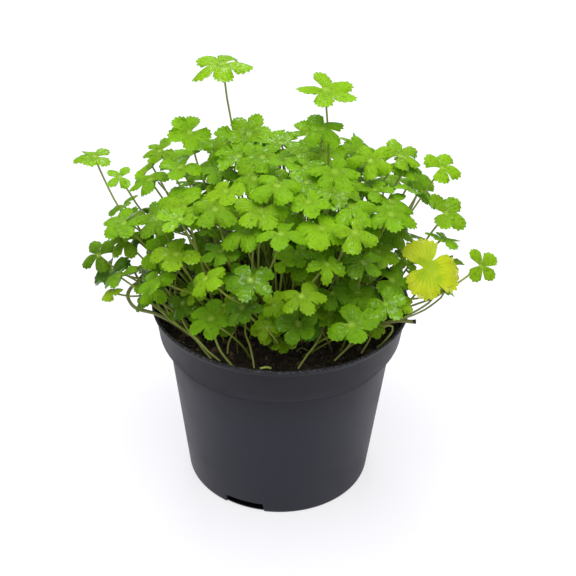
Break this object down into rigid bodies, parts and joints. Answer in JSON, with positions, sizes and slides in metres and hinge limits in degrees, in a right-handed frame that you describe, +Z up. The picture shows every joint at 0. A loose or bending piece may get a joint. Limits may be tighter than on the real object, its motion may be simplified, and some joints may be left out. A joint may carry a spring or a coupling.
{
  "type": "potted dwarf pennywort",
  "caption": "Round tapered nursery pot of soil with a dense mound of long-stalked, lobed round-toothed leaves.",
  "frame": {"origin": "on the ground under the pot's axis, which is the middle of the whole plant's box", "axes": "+Z up, -Y towards the front, +X to the right"},
  "size_m": [0.1911, 0.1509, 0.2037],
  "materials": {
    "pot_plastic": "matte injection-moulded black plastic, lightly scuffed",
    "soil": "damp dark peat with pale grains",
    "leaf_green": "fresh bright green leaf, slightly glossy, on a paler stalk",
    "leaf_yellow": "ageing yellow leaf",
    "runner": "pale green creeping stem",
    "dry_stalk": "drying stalk with a brown tip"
  },
  "bodies": {
    "root": {"dead_stalk": "dry_stalk", "pot": "pot_plastic", "potting_soil": "soil", "runner_left": "runner", "tuft_01": "leaf_green", "tuft_02": "leaf_green", "tuft_03": "leaf_green", "tuft_04": "leaf_green", "tuft_05": "leaf_green", "tuft_06": "leaf_green", "tuft_07": "leaf_green", "tuft_08": "leaf_green", "tuft_09": "leaf_green", "tuft_10": "leaf_green", "tuft_11": "leaf_green", "tuft_12": "leaf_green", "tuft_13": "leaf_green", "tuft_14": "leaf_green", "tuft_15": "leaf_green", "tuft_16": "leaf_green", "tuft_17": "leaf_green", "tuft_18": "leaf_green", "tuft_19": "leaf_green", "tuft_20": "leaf_green", "tuft_21": "leaf_green", "tuft_22": "leaf_green", "tuft_23": "leaf_green", "tuft_24": "leaf_green", "tuft_25": "leaf_green", "tuft_26": "leaf_green", "tuft_27": "leaf_green", "tuft_28": "leaf_green", "tuft_29": "leaf_green", "tuft_30": "leaf_green", "tuft_31": "leaf_green", "tuft_32": "leaf_green", "tuft_33": "leaf_green", "tuft_34": "leaf_green", "tuft_35": "leaf_green", "tuft_36": "leaf_green", "tuft_37": "leaf_green", "tuft_38": "leaf_green", "tuft_39": "leaf_green", "tuft_40": "leaf_green", "tuft_41": "leaf_green", "tuft_42": "leaf_green", "tuft_43": "leaf_green", "tuft_44": "leaf_green", "tuft_45": "leaf_green", "tuft_46": "leaf_green", "tuft_47": "leaf_green", "tuft_48": "leaf_green", "tuft_49": "leaf_green", "tuft_50": "leaf_green", "tuft_51": "leaf_green", "tuft_52": "leaf_green", "tuft_53": "leaf_green", "yellow_leaf": "leaf_yellow"}
  },
  "joints": []
}
